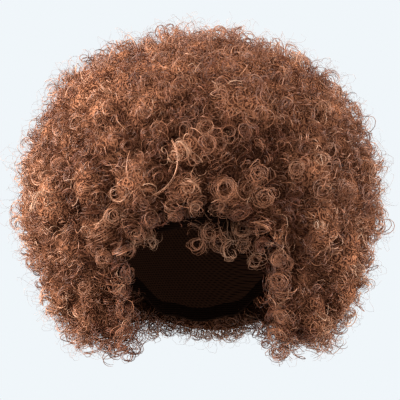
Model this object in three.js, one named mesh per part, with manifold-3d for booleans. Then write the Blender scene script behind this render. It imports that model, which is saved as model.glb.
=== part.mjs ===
// A full, round curly wig in its worn form: a stretch net cap with an elastic edge band, and hair in rows of
// curled locks. Each row is a weft, a backing with its locks fused on, and the rows lie one above another from
// the nape to the crown. A fringe of loose curls hangs over the forehead.
//
// Millimetres, +Z up. The origin is the top of the head, on the inside of the cap. The face looks along -Y.

import * as THREE from "three";
import { mergeVertices } from "three/addons/utils/BufferGeometryUtils.js";
import Module from "manifold-3d";

const wasm = await Module();
wasm.setup();

// The head that the cap is made for: half an ellipsoid's width, length and height.
const HEAD = { halfWidth: 74, halfLength: 93, height: 98 };

const CAP_WALL = 1.5;
const BAND_WALL = 2;
const BAND_WIDTH = 13;
const PIECE_GAP = 0.5;
const HAIR_OFF_HEAD = 4;

// The cap's edge, from the forehead (0 degrees) past the temple and the ear (90) to the nape (180).
const CAP_EDGE = [
  { azimuth: 0, height: -62 },
  { azimuth: 30, height: -67 },
  { azimuth: 60, height: -92 },
  { azimuth: 84, height: -112 },
  { azimuth: 104, height: -104 },
  { azimuth: 126, height: -120 },
  { azimuth: 152, height: -144 },
  { azimuth: 180, height: -150 },
];

// The outside of the hair, by level sections: half its width, and its reach in front of and behind the origin.
const OUTLINE = [
  { height: 90, halfWidth: 0, front: 0, back: 0 },
  { height: 82, halfWidth: 48, front: 46, back: 50 },
  { height: 64, halfWidth: 91, front: 84, back: 94 },
  { height: 36, halfWidth: 124, front: 116, back: 132 },
  { height: 0, halfWidth: 147, front: 134, back: 158 },
  { height: -38, halfWidth: 158, front: 138, back: 170 },
  { height: -76, halfWidth: 158, front: 126, back: 172 },
  { height: -112, halfWidth: 150, front: 104, back: 165 },
  { height: -146, halfWidth: 136, front: 90, back: 150 },
  { height: -176, halfWidth: 119, front: 84, back: 132 },
  { height: -195, halfWidth: 97, front: 74, back: 108 },
  { height: -205, halfWidth: 0, front: 0, back: 0 },
];

// Facets round the cap, the hollow for the head and the backing that the locks stand on, and down the last two.
const FACETS = 18;
const HOLLOW_STEPS = 6;
const BACKING_STEPS = 12;

// The face opening, an arch open at the bottom, and the neck opening under the cap.
const FACE = { hairline: -64, halfWidth: 58, jawHalfWidth: 54, widestAt: -116, archFacets: 7 };
const NECK_FROM = -146;
const BELOW_ALL = -260;

// Hair rows, top to bottom: the levels that each row's backing runs between, and its rings of locks. A ring has a
// height on the outline and a shift, as a share of the step from lock to lock.
const ROWS = [
  {
    node: "crown_curls", from: 120, to: 41,
    rings: [
      { height: 89.5, locks: 1, shift: 0 },
      { height: 82.6, locks: 6, shift: 0.2 },
      { height: 66, locks: 12, shift: 0.6 },
    ],
  },
  { node: "weft_row_1", from: 41, to: 11, rings: [{ height: 37.7, locks: 17, shift: 0.5 }] },
  { node: "weft_row_2", from: 11, to: -26, rings: [{ height: -0.7, locks: 20, shift: 0 }] },
  { node: "weft_row_3", from: -26, to: -66, rings: [{ height: -45, locks: 21, shift: 0.5 }] },
  { node: "weft_row_4", from: -66, to: -106, rings: [{ height: -89, locks: 18, shift: 0, openAtFace: true }] },
  { node: "weft_row_5", from: -106, to: -145, rings: [{ height: -131.6, locks: 16, shift: 0, openAtFace: true }] },
  { node: "weft_row_6", from: -145, to: -220, rings: [{ height: -175, locks: 13, shift: 0, openAtFace: true }] },
];

// One lock: a tapered tube that leaves the backing and winds inwards like a snail's shell.
const LOCK = {
  ringAcross: 18, ringUp: 14, turns: 1.2, closesTo: 0.5, rootRadius: 7.6, tipRadius: 4,
  sunk: 8, lift: 6.8, risesBy: 0.125, domes: 2, sides: 3, steps: 8, startSpread: 0.25 * Math.PI,
};
const LOCK_HEIGHT = LOCK.lift + LOCK.rootRadius;

// The fringe: how far across from the middle each curl hangs, how far down it reaches, and how wide it is.
const FRINGE = [
  { across: -37, drop: -99, width: 15 },
  { across: -5, drop: -94, width: 13 },
  { across: 10, drop: -105, width: 15 },
  { across: 25, drop: -100, width: 14 },
  { across: 39, drop: -107, width: 13 },
];
const FRINGE_STRIP = { radius: 4, sides: 2, steps: 7, forward: 97, halfSpan: 56, routeSteps: 8 };
const FRINGE_CURL = { turns: 1.2, closesTo: 0.45, rootRadius: 3.6, tipRadius: 2.2, sunk: 0, lift: 2 };

const HAIR_BROWN = 0x8a5438;
const CAP_BROWN = 0x2e1c14;

// A repeatable number from 0 to 1 for each whole number, so that no two locks are quite alike.
function chance(seed) {
  const wave = Math.sin(seed * 12.9898 + 4.1) * 43758.5453;
  return wave - Math.floor(wave);
}

function solidOf(geometry) {
  const bare = geometry.index ? geometry.toNonIndexed() : geometry.clone();
  bare.deleteAttribute("normal");
  bare.deleteAttribute("uv");
  const merged = mergeVertices(bare, 1e-4);
  const vertProperties = merged.attributes.position.array;
  let solid = new wasm.Manifold(
    new wasm.Mesh({ numProp: 3, vertProperties, triVerts: new Uint32Array(merged.index.array) }),
  );
  if (solid.volume() < 0) {
    const flipped = new Uint32Array(merged.index.array).reverse();
    solid = new wasm.Manifold(new wasm.Mesh({ numProp: 3, vertProperties, triVerts: flipped }));
  }
  return solid;
}

function geometryOf(solid) {
  const mesh = solid.getMesh();
  const geometry = new THREE.BufferGeometry();
  geometry.setAttribute("position", new THREE.BufferAttribute(mesh.vertProperties, 3));
  geometry.setIndex(new THREE.BufferAttribute(mesh.triVerts, 1));
  geometry.computeVertexNormals();
  return geometry;
}

// Moves every vertex of a geometry to the place that a function gives for it.
function reshape(geometry, place) {
  const position = geometry.attributes.position;
  const vertex = new THREE.Vector3();
  for (let i = 0; i < position.count; i++) {
    const moved = place(vertex.fromBufferAttribute(position, i));
    position.setXYZ(i, moved.x, moved.y, moved.z);
  }
  return geometry;
}

function join(solids) {
  return solids.reduce((all, next) => all.add(next));
}

// The cap and its band

function edgeHeight(azimuth) {
  const around = Math.abs(THREE.MathUtils.radToDeg(azimuth));
  const next = Math.max(1, CAP_EDGE.findIndex((row) => row.azimuth >= around));
  const low = CAP_EDGE[next - 1];
  const high = CAP_EDGE[next];
  const share = THREE.MathUtils.smoothstep(around, low.azimuth, high.azimuth);
  return THREE.MathUtils.lerp(low.height, high.height, share);
}

// A point on the head, or outside it by an offset, at an angle down from the top.
function headPoint(azimuth, fromTop, offset) {
  return new THREE.Vector3(
    (HEAD.halfWidth + offset) * Math.sin(fromTop) * Math.sin(azimuth),
    -(HEAD.halfLength + offset) * Math.sin(fromTop) * Math.cos(azimuth),
    -HEAD.height + (HEAD.height + offset) * Math.cos(fromTop),
  );
}

// A wall round the head. A profile point's x is its way down: 0 at the top, 1 at the cap's edge and 2 at the
// band's lower edge. Its y is its distance outside the head.
function headWall(profile) {
  const bandAngle = BAND_WIDTH / HEAD.height;
  const wall = new THREE.LatheGeometry(profile, FACETS);
  return reshape(wall, (vertex) => {
    const down = Math.hypot(vertex.x, vertex.z);
    const azimuth = Math.atan2(vertex.x, vertex.z);
    const edgeAngle = Math.acos(1 + edgeHeight(azimuth) / HEAD.height);
    const fromTop = Math.min(down, 1) * edgeAngle + Math.max(down - 1, 0) * bandAngle;
    return headPoint(azimuth, fromTop, vertex.y);
  });
}

function capNet() {
  const rings = 5;
  const inside = Array.from({ length: rings + 1 }, (_, i) => new THREE.Vector2(i / rings, 0));
  const outside = inside.map((point) => new THREE.Vector2(point.x, CAP_WALL)).reverse();
  return headWall([...inside, ...outside]);
}

function edgeBand() {
  const gap = PIECE_GAP / BAND_WIDTH;
  const profile = [
    new THREE.Vector2(1 + gap, 0),
    new THREE.Vector2(2, 0),
    new THREE.Vector2(2, BAND_WALL),
    new THREE.Vector2(1 + gap, BAND_WALL),
    new THREE.Vector2(1 + gap, 0),
  ];
  return headWall(profile);
}

// The outside of the hair

const widthCurve = new THREE.SplineCurve(OUTLINE.map((row) => new THREE.Vector2(row.halfWidth, row.height)));
const depthCurve = new THREE.SplineCurve(OUTLINE.map((row) => new THREE.Vector2(row.front, row.back)));

// A point on the outside of the hair, at a share of the way along the outline and an azimuth from the front.
function outlinePoint(share, azimuth) {
  const { x: halfWidth, y: height } = widthCurve.getPoint(share);
  const { x: front, y: back } = depthCurve.getPoint(share);
  const ahead = Math.cos(azimuth);
  const reach = ahead > 0 ? front : back;
  return new THREE.Vector3(halfWidth * Math.sin(azimuth), -reach * ahead, height);
}

function outlineNormal(share, azimuth) {
  const step = 0.004;
  const along = outlinePoint(Math.min(share + step, 1), azimuth);
  along.sub(outlinePoint(Math.max(share - step, 0), azimuth));
  const around = outlinePoint(share, azimuth + step).sub(outlinePoint(share, azimuth - step));
  if (around.lengthSq() < 1e-6) return new THREE.Vector3(0, 0, share < 0.5 ? 1 : -1);
  return around.cross(along).normalize().negate();
}

function shareAtHeight(height) {
  let low = 0;
  let high = 1;
  for (let i = 0; i < 40; i++) {
    const middle = (low + high) / 2;
    if (widthCurve.getPoint(middle).y > height) low = middle;
    else high = middle;
  }
  return low;
}

// The backing that the locks stand on: the hair's outside, set in by a lock's height.
function backingBody() {
  const nearPole = 0.004;
  const body = new THREE.CylinderGeometry(1, 1, 1, FACETS, BACKING_STEPS);
  return reshape(body, (vertex) => {
    const share = THREE.MathUtils.clamp(0.5 - vertex.y, nearPole, 1 - nearPole);
    const azimuth = Math.atan2(vertex.x, vertex.z);
    const point = outlinePoint(share, azimuth).addScaledVector(outlineNormal(share, azimuth), -LOCK_HEIGHT);
    return Math.hypot(vertex.x, vertex.z) < 0.5 ? point.setX(0).setY(0) : point;
  });
}

// The hollow for the head, clear of the cap and band, which goes on down as the opening for the neck.
function headHollow() {
  const neckAngle = Math.acos(1 + NECK_FROM / HEAD.height);
  const profile = Array.from({ length: HOLLOW_STEPS + 1 }, (_, i) => new THREE.Vector2(i / HOLLOW_STEPS, 0));
  profile.push(new THREE.Vector2(1, 1), new THREE.Vector2(0, 1));
  const hollow = new THREE.LatheGeometry(profile, FACETS);
  return reshape(hollow, (vertex) => {
    const down = Math.hypot(vertex.x, vertex.z);
    const point = headPoint(Math.atan2(vertex.x, vertex.z), down * neckAngle, HAIR_OFF_HEAD);
    return vertex.y > 0.5 ? point.setZ(BELOW_ALL) : point;
  });
}

// The face opening, run forward through all of the hair.
function faceOpening() {
  const { jawHalfWidth: jaw, halfWidth: side } = FACE;
  const rise = FACE.hairline - FACE.widestAt;
  const arch = new THREE.Shape();
  arch.moveTo(-jaw, BELOW_ALL);
  arch.lineTo(jaw, BELOW_ALL);
  arch.lineTo(side, FACE.widestAt);
  arch.absellipse(0, FACE.widestAt, side, rise, 0, Math.PI, false, 0);
  arch.lineTo(-jaw, BELOW_ALL);
  const depth = 2 * Math.max(...OUTLINE.map((row) => row.front));
  const prism = new THREE.ExtrudeGeometry(arch, { depth, bevelEnabled: false, curveSegments: FACE.archFacets });
  return prism.rotateX(Math.PI / 2);
}

// Locks

// One tapered curl in its own frame: the ring lies in XY, the root is at the start angle, and Z points out.
function curl({ across, up, start, hand, turns, closesTo, rootRadius, tipRadius, sunk, lift, risesBy, domes }) {
  const tube = new THREE.CylinderGeometry(tipRadius, rootRadius, 1, LOCK.sides, LOCK.steps);
  return reshape(tube, (vertex) => {
    const along = vertex.y + 0.5;
    const angle = start + hand * turns * 2 * Math.PI * along;
    const closing = THREE.MathUtils.lerp(1, closesTo, along);
    const outward = new THREE.Vector3(Math.cos(angle), Math.sin(angle), 0);
    const rise = THREE.MathUtils.lerp(-sunk, lift, THREE.MathUtils.smoothstep(along, 0, risesBy));
    const height = rise + domes * along;
    return new THREE.Vector3(
      outward.x * (across * closing + hand * vertex.x),
      outward.y * (up * closing + hand * vertex.x),
      height + vertex.z,
    );
  });
}

// Sites of one ring of locks, evenly spaced along its level section, with the face left open where it has to be.
function ringSites(ring) {
  const share = shareAtHeight(ring.height);
  const samples = 360;
  const walk = [];
  let length = 0;
  let last = null;
  for (let i = 0; i <= samples; i++) {
    const azimuth = (i / samples) * 2 * Math.PI;
    const point = outlinePoint(share, azimuth);
    const open = FACE.halfWidth + LOCK.ringAcross;
    if (ring.openAtFace && point.y < 0 && Math.abs(point.x) < open) continue;
    length += last ? point.distanceTo(last) : 0;
    walk.push({ azimuth, length });
    last = point;
  }
  const spaces = ring.openAtFace ? ring.locks - 1 : ring.locks;
  return Array.from({ length: ring.locks }, (_, i) => {
    const wanted = ((i + ring.shift) / Math.max(spaces, 1)) * length;
    const at = walk.find((step) => step.length >= Math.min(wanted, length) - 1e-6);
    return { share, azimuth: at.azimuth };
  });
}

function lockAt({ share, azimuth }, seed) {
  const outward = outlineNormal(share, azimuth);
  const up = Math.abs(outward.z) > 0.99 ? new THREE.Vector3(0, 1, 0) : new THREE.Vector3(0, 0, 1);
  const across = up.clone().cross(outward).normalize();
  const upright = outward.clone().cross(across);
  const root = outlinePoint(share, azimuth).addScaledVector(outward, -LOCK_HEIGHT);
  const size = 0.94 + 0.1 * chance(seed);
  const rootSide = outward.z < 0 ? -Math.PI / 2 : Math.PI / 2;
  const lock = curl({
    ...LOCK,
    across: LOCK.ringAcross * size,
    up: LOCK.ringUp * size,
    start: rootSide + LOCK.startSpread * (2 * chance(seed + 0.37) - 1),
    hand: chance(seed + 0.71) > 0.5 ? 1 : -1,
  });
  const frame = new THREE.Matrix4().makeBasis(across, upright, outward).setPosition(root);
  return solidOf(lock.applyMatrix4(frame));
}

// A row's share of the backing: a level slab of it, a little short of its neighbours.
function rowBacking(row, hairMass) {
  const wide = 3 * Math.max(...OUTLINE.map((row) => row.back));
  const slab = new THREE.BoxGeometry(wide, wide, row.from - row.to - PIECE_GAP);
  return hairMass.intersect(solidOf(slab.translate(0, 0, (row.from + row.to) / 2)));
}

function hairRow(row, hairMass, seed) {
  const locks = row.rings.flatMap(ringSites).map((site, i) => lockAt(site, seed + i));
  return geometryOf(join([rowBacking(row, hairMass), ...locks]));
}

// The fringe: curls on a thin strip that follows the top of the face opening.
function fringe() {
  const inset = FRINGE_STRIP.radius + 2 * PIECE_GAP;
  const reach = FACE.halfWidth - inset;
  const rise = FACE.hairline - FACE.widestAt - inset;
  const onArch = (angle) => new THREE.Vector3(
    reach * Math.sin(angle),
    -FRINGE_STRIP.forward * Math.cos(angle / 2),
    FACE.widestAt + rise * Math.cos(angle),
  );
  const span = THREE.MathUtils.degToRad(FRINGE_STRIP.halfSpan);
  const { routeSteps } = FRINGE_STRIP;
  const route = Array.from(
    { length: routeSteps + 1 },
    (_, i) => onArch(THREE.MathUtils.lerp(-span, span, i / routeSteps)),
  );
  const section = new THREE.Shape().absarc(0, 0, FRINGE_STRIP.radius, 0, 2 * Math.PI);
  const strip = new THREE.ExtrudeGeometry(section, {
    steps: FRINGE_STRIP.steps,
    curveSegments: FRINGE_STRIP.sides,
    bevelEnabled: false,
    extrudePath: new THREE.CatmullRomCurve3(route),
  });
  const curls = FRINGE.map(({ across, drop, width }) => {
    const top = onArch(Math.asin(across / reach));
    const up = (top.z - drop - FRINGE_CURL.rootRadius) / 2;
    const hanging = curl({
      ...LOCK,
      ...FRINGE_CURL,
      across: (width - FRINGE_CURL.rootRadius) / 2,
      up,
      start: Math.PI / 2,
      hand: across < 0 ? -1 : 1,
    });
    return solidOf(hanging.rotateX(Math.PI / 2).translate(across, top.y, top.z - up));
  });
  return geometryOf(join([solidOf(strip), ...curls]));
}

// The assembly

const hairMaterial = new THREE.MeshStandardMaterial({ color: HAIR_BROWN, roughness: 0.55, metalness: 0 });
const capMaterial = new THREE.MeshStandardMaterial({ color: CAP_BROWN, roughness: 0.9, metalness: 0 });

const wig = new THREE.Group();

function place(name, geometry, material) {
  const piece = new THREE.Mesh(geometry, material);
  piece.name = name;
  wig.add(piece);
}

const hairMass = solidOf(backingBody()).subtract(solidOf(headHollow())).subtract(solidOf(faceOpening()));

place("cap_net", capNet(), capMaterial);
place("edge_band", edgeBand(), capMaterial);
ROWS.forEach((row, i) => place(row.node, hairRow(row, hairMass, 100 * i), hairMaterial));
place("fringe_curls", fringe(), hairMaterial);

export default wig;
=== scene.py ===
# %% [markdown]
# # A curly wig
#
# This lesson dresses a full, round curly wig. The solids under it give the cap, its elastic band and the
# rows of locks as plain forms. Here each row becomes what one sees on the real thing: a dark, matted base
# of hair with hundreds of springy ringlets on it. Lengths are in metres, and MM turns the millimetres of
# tables into them. +Z is up and the front looks along -Y.

# %% Load the frame
import math

import bpy
import numpy as np
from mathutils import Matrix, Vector


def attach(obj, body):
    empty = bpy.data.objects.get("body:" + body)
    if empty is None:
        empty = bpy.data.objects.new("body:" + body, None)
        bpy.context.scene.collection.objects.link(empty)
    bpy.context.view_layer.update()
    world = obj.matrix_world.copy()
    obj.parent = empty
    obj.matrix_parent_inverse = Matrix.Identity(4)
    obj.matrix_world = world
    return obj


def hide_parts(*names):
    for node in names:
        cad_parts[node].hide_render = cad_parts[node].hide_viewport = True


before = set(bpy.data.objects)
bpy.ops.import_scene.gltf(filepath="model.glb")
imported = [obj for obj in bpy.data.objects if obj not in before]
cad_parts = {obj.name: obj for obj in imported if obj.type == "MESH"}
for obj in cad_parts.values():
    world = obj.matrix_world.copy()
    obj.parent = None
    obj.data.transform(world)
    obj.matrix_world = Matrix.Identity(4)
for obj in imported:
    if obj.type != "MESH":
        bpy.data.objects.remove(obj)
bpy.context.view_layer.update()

MM = 0.001

# %% [markdown]
# ## The form inside
#
# A wig has an inside and an outside. The inside is the form that it is worn on, here an ellipsoid, and
# the cap ends on it at an edge that rises at the front and over the ears and drops to the nape. A
# sculpted form would do as well, but later pieces only ask for a point on it or for the height of the
# edge, so a formula and a short table are enough.

# %% The form inside and the cap's edge
HEAD = {"half_width": 74 * MM, "half_length": 93 * MM, "height": 98 * MM}


def table(columns, *rows):
    """Rows of values under named columns."""
    return [dict(zip(columns.split(), row)) for row in rows]


def column(rows, name):
    """One column of a table."""
    return np.array([row[name] for row in rows])


CAP_EDGE = table(
    "azimuth height",
    (0, -62),
    (30, -67),
    (60, -92),
    (84, -112),
    (104, -104),
    (126, -120),
    (152, -144),
    (180, -150),
)


def smoothstep(value):
    value = np.clip(value, 0.0, 1.0)
    return value * value * (3.0 - 2.0 * value)


def edge_height(azimuth):
    """Height of the cap's edge, in metres, at an azimuth in radians from the front."""
    around = np.abs(np.degrees(np.arctan2(np.sin(azimuth), np.cos(azimuth))))
    at, height = column(CAP_EDGE, "azimuth"), column(CAP_EDGE, "height") * MM
    i = np.clip(np.searchsorted(at, around) - 1, 0, len(at) - 2)
    share = smoothstep((around - at[i]) / (at[i + 1] - at[i]))
    return height[i] + (height[i + 1] - height[i]) * share


def head_point(azimuth, from_top, offset=0.0):
    """A point on the form, or outside it by an offset, at an angle down from the top."""
    return np.stack([
        (HEAD["half_width"] + offset) * np.sin(from_top) * np.sin(azimuth),
        -(HEAD["half_length"] + offset) * np.sin(from_top) * np.cos(azimuth),
        -HEAD["height"] + (HEAD["height"] + offset) * np.cos(from_top),
    ], axis=-1)


print("cap edge, front and nape:", edge_height(np.array([0.0, math.pi])))

# %% [markdown]
# ## The outside of the hair
#
# The hair was picked into one round shape. It could be sculpted, but it is smooth, so a few measured
# sections from the top down and a curve through them give it, with its own reach to the front and to the
# back. A place on it is a share of the way down the sections and an azimuth round it.

# %% The outside of the hair
OUTLINE = table(
    "height half_width front back",
    (90, 0, 0, 0),
    (82, 48, 46, 50),
    (64, 91, 84, 94),
    (36, 124, 116, 132),
    (0, 147, 134, 158),
    (-38, 158, 138, 170),
    (-76, 158, 126, 172),
    (-112, 150, 104, 165),
    (-146, 136, 90, 150),
    (-176, 119, 84, 132),
    (-195, 97, 74, 108),
    (-205, 0, 0, 0),
)
SECTION_COLUMNS = ("half_width", "front", "back", "height")
SECTIONS = np.stack([column(OUTLINE, name) for name in SECTION_COLUMNS], axis=1) * MM
SHORT_STEP = 0.004


def section(share):
    """Half width, front reach, back reach and height, on a smooth curve through the measured sections."""
    last = len(SECTIONS) - 1
    place = np.clip(share, 0.0, 1.0) * last
    i = np.minimum(np.floor(place).astype(int), last - 1)
    f = (place - i)[..., None]
    before, here = SECTIONS[np.maximum(i - 1, 0)], SECTIONS[i]
    there, after = SECTIONS[i + 1], SECTIONS[np.minimum(i + 2, last)]
    leave, arrive = (there - before) / 2, (after - here) / 2
    curve = here + leave * f + (3 * (there - here) - 2 * leave - arrive) * f ** 2
    return curve + (2 * (here - there) + leave + arrive) * f ** 3


def outline_point(share, azimuth):
    size = section(share)
    ahead = np.cos(azimuth)
    reach = np.where(ahead > 0, size[..., 1], size[..., 2])
    return np.stack([size[..., 0] * np.sin(azimuth), -reach * ahead, size[..., 3]], axis=-1)


def unit(vectors):
    return vectors / np.maximum(np.linalg.norm(vectors, axis=-1, keepdims=True), 1e-9)


def outline_normal(share, azimuth):
    """The way out of the hair at a place, from a short step down the outside and one round it."""
    step = SHORT_STEP
    share = np.clip(share, step, 1.0 - step)
    along = outline_point(share + step, azimuth) - outline_point(share - step, azimuth)
    around = outline_point(share, azimuth + step) - outline_point(share, azimuth - step)
    return unit(np.cross(along, around))


print("hair at the temples:", np.round(outline_point(np.array([0.45]), np.array([math.pi / 2])), 3))

# %% [markdown]
# ## Finishes
#
# The wig has glossy hair fibre, matted hair under it, and the woven cloth of the cap and band. A material
# is a tree of nodes, which could be set up by hand in the shader editor. In code three helpers keep it
# short: one for a colour as it is read off a screen, one for a new finish and one for a node with its
# values.

# %% Helpers for node materials
def srgb(red, green, blue):
    """A colour as read off a screen, 0 to 255, turned into the linear values that a shader takes."""
    shown = np.array([red, green, blue]) / 255.0
    linear = np.where(shown <= 0.04045, shown / 12.92, ((shown + 0.055) / 1.055) ** 2.4)
    return (*linear.tolist(), 1.0)


def new_finish(name, roughness, specular=0.5):
    finish = bpy.data.materials.new(name)
    finish.use_nodes = True
    shader = finish.node_tree.nodes["Principled BSDF"]
    shader.inputs["Roughness"].default_value = roughness
    shader.inputs["Specular IOR Level"].default_value = specular
    return finish, finish.node_tree, shader


def add(tree, kind, values=None, **settings):
    """A new node. Settings are its own fields, and values are for sockets that nothing is linked to."""
    node = tree.nodes.new("ShaderNode" + kind)
    for field, setting in settings.items():
        setattr(node, field, setting)
    for socket, value in (values or {}).items():
        node.inputs[socket].default_value = value
    return node


print("a mid grey on screen, as a shader takes it:", np.round(srgb(128, 128, 128), 3))

# %% [markdown]
# Some steps come back in several finishes: colours along a value, two values made one, waves along a
# value, and a bump. Each is a short helper, so that a finish can be read as a recipe.

# %% Steps that finishes share
def ramp(tree, source, stops):
    """Colours along a value. Each stop is a place from 0 to 1 and a colour."""
    node = add(tree, "ValToRGB")
    elements = node.color_ramp.elements
    elements[0].position, elements[0].color = stops[0]
    elements[1].position, elements[1].color = stops[-1]
    for position, colour in stops[1:-1]:
        elements.new(position).color = colour
    tree.links.new(source, node.inputs["Fac"])
    return node.outputs["Color"]


def combined(tree, operation, first, second):
    """Two values made one, such as their product or the larger of the two."""
    node = add(tree, "Math", operation=operation)
    tree.links.new(first, node.inputs[0])
    tree.links.new(second, node.inputs[1])
    return node.outputs["Value"]


def waves(tree, source, often):
    """Waves along a value, so many of them while it goes from 0 to 1."""
    spaced = add(tree, "Math", {1: 2 * math.pi * often}, operation="MULTIPLY")
    wave = add(tree, "Math", operation="SINE")
    tree.links.new(source, spaced.inputs[0])
    tree.links.new(spaced.outputs["Value"], wave.inputs[0])
    return wave.outputs["Value"]


def add_bump(tree, shader, height, strength, distance):
    bump = add(tree, "Bump", {"Strength": strength, "Distance": distance})
    tree.links.new(height, bump.inputs["Height"])
    tree.links.new(bump.outputs["Normal"], shader.inputs["Normal"])


print("shared steps:", [step.__name__ for step in (ramp, combined, waves, add_bump)])

# %% [markdown]
# Wig fibre is a glossy thread, and no two threads are quite the same brown. An image could be wrapped
# round each strand. Instead each strand carries its own map: across the map is the strand's tone, and
# along it is the way from root to tip. A ramp across gives the brown, and a ramp along darkens the root
# as painted shade deep in the hair. Fine lines across stand for single fibres, and broad bands along it
# are a painted sheen, lighter where a ringlet turns towards the light.

# %% Hair fibre
HAIR_MAP = "OFBake"
HAIR_SHADES = [
    (0.0, srgb(84, 42, 26)),
    (0.45, srgb(139, 88, 61)),
    (0.8, srgb(173, 129, 101)),
    (1.0, srgb(196, 165, 142)),
]
# Darker towards the root: painted shade of the hair deep inside.
PAINTED_ROOT_SHADE = [(0.0, (0.7, 0.64, 0.6, 1)), (0.3, (0.95, 0.94, 0.93, 1)), (1.0, (1, 1, 1, 1))]
FIBRE_LINES = {"often": 55, "dark": 0.82, "light": 1.06}
# Broad bands along a strand: painted sheen where a ringlet turns towards the light.
PAINTED_SHEEN_BANDS = {"often": 2.5, "dark": 0.7, "light": 1.2}
WARM_GLOSS = (1.0, 0.85, 0.74, 1.0)


def multiplied(tree, first, second):
    """Two colours multiplied."""
    mix = add(tree, "Mix", data_type="RGBA", blend_type="MULTIPLY")
    mix.inputs["Factor"].default_value = 1.0
    tree.links.new(first, mix.inputs["A"])
    tree.links.new(second, mix.inputs["B"])
    return mix.outputs["Result"]


def stripes(tree, source, kind):
    """Soft stripes along a value, from dark to light and back."""
    shaded = add(tree, "MapRange", {"From Min": -1.0, "To Min": kind["dark"], "To Max": kind["light"]})
    tree.links.new(waves(tree, source, kind["often"]), shaded.inputs["Value"])
    return shaded.outputs["Result"]


def hair_fibre():
    finish, tree, shader = new_finish("hair_fibre", roughness=0.42, specular=0.22)
    shader.inputs["Specular Tint"].default_value = WARM_GLOSS
    fibre = add(tree, "UVMap", uv_map=HAIR_MAP)
    parts = add(tree, "SeparateXYZ")
    tree.links.new(fibre.outputs["UV"], parts.inputs["Vector"])
    across, along = parts.outputs["X"], parts.outputs["Y"]
    brown = multiplied(tree, ramp(tree, across, HAIR_SHADES), ramp(tree, along, PAINTED_ROOT_SHADE))
    fibres_and_sheen = combined(tree, "MULTIPLY", stripes(tree, across, FIBRE_LINES), stripes(tree, along, PAINTED_SHEEN_BANDS))
    tree.links.new(multiplied(tree, brown, fibres_and_sheen), shader.inputs["Base Color"])
    return finish


hair_finish = hair_fibre()
print("finish", hair_finish.name, "with", len(hair_finish.node_tree.nodes), "nodes")

# %% [markdown]
# Between the ringlets one sees smaller ones end on, packed side by side, and dark creases. Real strands
# there would cost many faces for little. A cell pattern with rings round the middle of each cell looks
# the same, in two sizes, moved about by a little noise. An attribute of the mesh says where the creases
# are, and there the colour is darkened as painted shade.

# %% Matted base hair
PAINTED_SHADE_ATTRIBUTE = "crease"
MAT_RINGS = [{"cells": 85.0, "lines": 4.5}, {"cells": 140.0, "lines": 3.0}]
MAT_SHADES = [(0.3, srgb(84, 48, 33)), (0.95, srgb(150, 96, 68))]
PAINTED_CREASE_SHADE = srgb(46, 25, 16)
MAT_WAVER = {"scale": 150.0, "reach": 6 * MM}


def matted_hair():
    finish, tree, shader = new_finish("matted_hair", roughness=0.75, specular=0.0)
    place = add(tree, "TexCoord").outputs["Object"]
    waver = add(tree, "TexNoise", {"Scale": MAT_WAVER["scale"]})
    moved = add(tree, "VectorMath", operation="MULTIPLY_ADD")
    moved.inputs[1].default_value = [MAT_WAVER["reach"]] * 3
    tree.links.new(place, waver.inputs["Vector"])
    tree.links.new(waver.outputs["Color"], moved.inputs[0])
    tree.links.new(place, moved.inputs[2])
    rings = []
    for kind in MAT_RINGS:
        packed = add(tree, "TexVoronoi", {"Scale": kind["cells"]})
        tree.links.new(moved.outputs["Vector"], packed.inputs["Vector"])
        rings.append(waves(tree, packed.outputs["Distance"], kind["lines"]))
    strands = combined(tree, "MAXIMUM", *rings)
    crease = add(tree, "Attribute", attribute_name=PAINTED_SHADE_ATTRIBUTE)
    # Painted shade: the colour darkens where the mesh marks a crease.
    painted_shade = add(tree, "Mix", data_type="RGBA")
    painted_shade.inputs["B"].default_value = PAINTED_CREASE_SHADE
    tree.links.new(crease.outputs["Fac"], painted_shade.inputs["Factor"])
    tree.links.new(ramp(tree, strands, MAT_SHADES), painted_shade.inputs["A"])
    tree.links.new(painted_shade.outputs["Result"], shader.inputs["Base Color"])
    add_bump(tree, shader, strands, strength=0.9, distance=1.0 * MM)
    return finish


base_finish = matted_hair()
print("finish", base_finish.name, "with", len(base_finish.node_tree.nodes), "nodes")

# %% [markdown]
# The cap is a matt stretch net and the band a ribbed elastic. Modelled threads would be far too fine to
# see, so both are waves on the piece's own coordinates: two sets that cross for the net, one set for the
# ribs.

# %% Net and elastic
THREAD_WAVER = 0.6


def woven(name, dark, light, scale, across):
    """Cloth seen close: fine threads along each of the given directions."""
    finish, tree, shader = new_finish(name, roughness=0.9, specular=0.0)
    place = add(tree, "TexCoord").outputs["Object"]
    threads = []
    for direction in across:
        wave = add(tree, "TexWave", {"Scale": scale, "Distortion": THREAD_WAVER}, bands_direction=direction)
        tree.links.new(place, wave.inputs["Vector"])
        threads.append(wave.outputs["Fac"])
    height = threads[0] if len(threads) == 1 else combined(tree, "MAXIMUM", *threads)
    tree.links.new(ramp(tree, height, [(0.2, dark), (0.8, light)]), shader.inputs["Base Color"])
    add_bump(tree, shader, height, strength=0.6, distance=0.5 * MM)
    return finish


net_finish = woven("stretch_net", srgb(30, 18, 13), srgb(74, 47, 34), 160.0, ("Z", "DIAGONAL"))
band_finish = woven("ribbed_elastic", srgb(18, 11, 8), srgb(44, 28, 21), 190.0, ("Z",))
print("finishes", net_finish.name, band_finish.name)

# %% [markdown]
# ## Pieces made with operators
#
# Pieces are modelled with Blender's operators, as by hand. An operator acts on all that is selected, so
# before each new piece everything is deselected. A finished piece gets its material and says which body
# it rides on and which solids it stands for. One helper does each.

# %% Helpers for every piece
def on_its_own():
    """Leaves edit mode and deselects everything, so that operators touch only what is added next."""
    if bpy.context.object and bpy.context.object.mode != "OBJECT":
        bpy.ops.object.mode_set(mode="OBJECT")
    bpy.ops.object.select_all(action="DESELECT")


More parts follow.
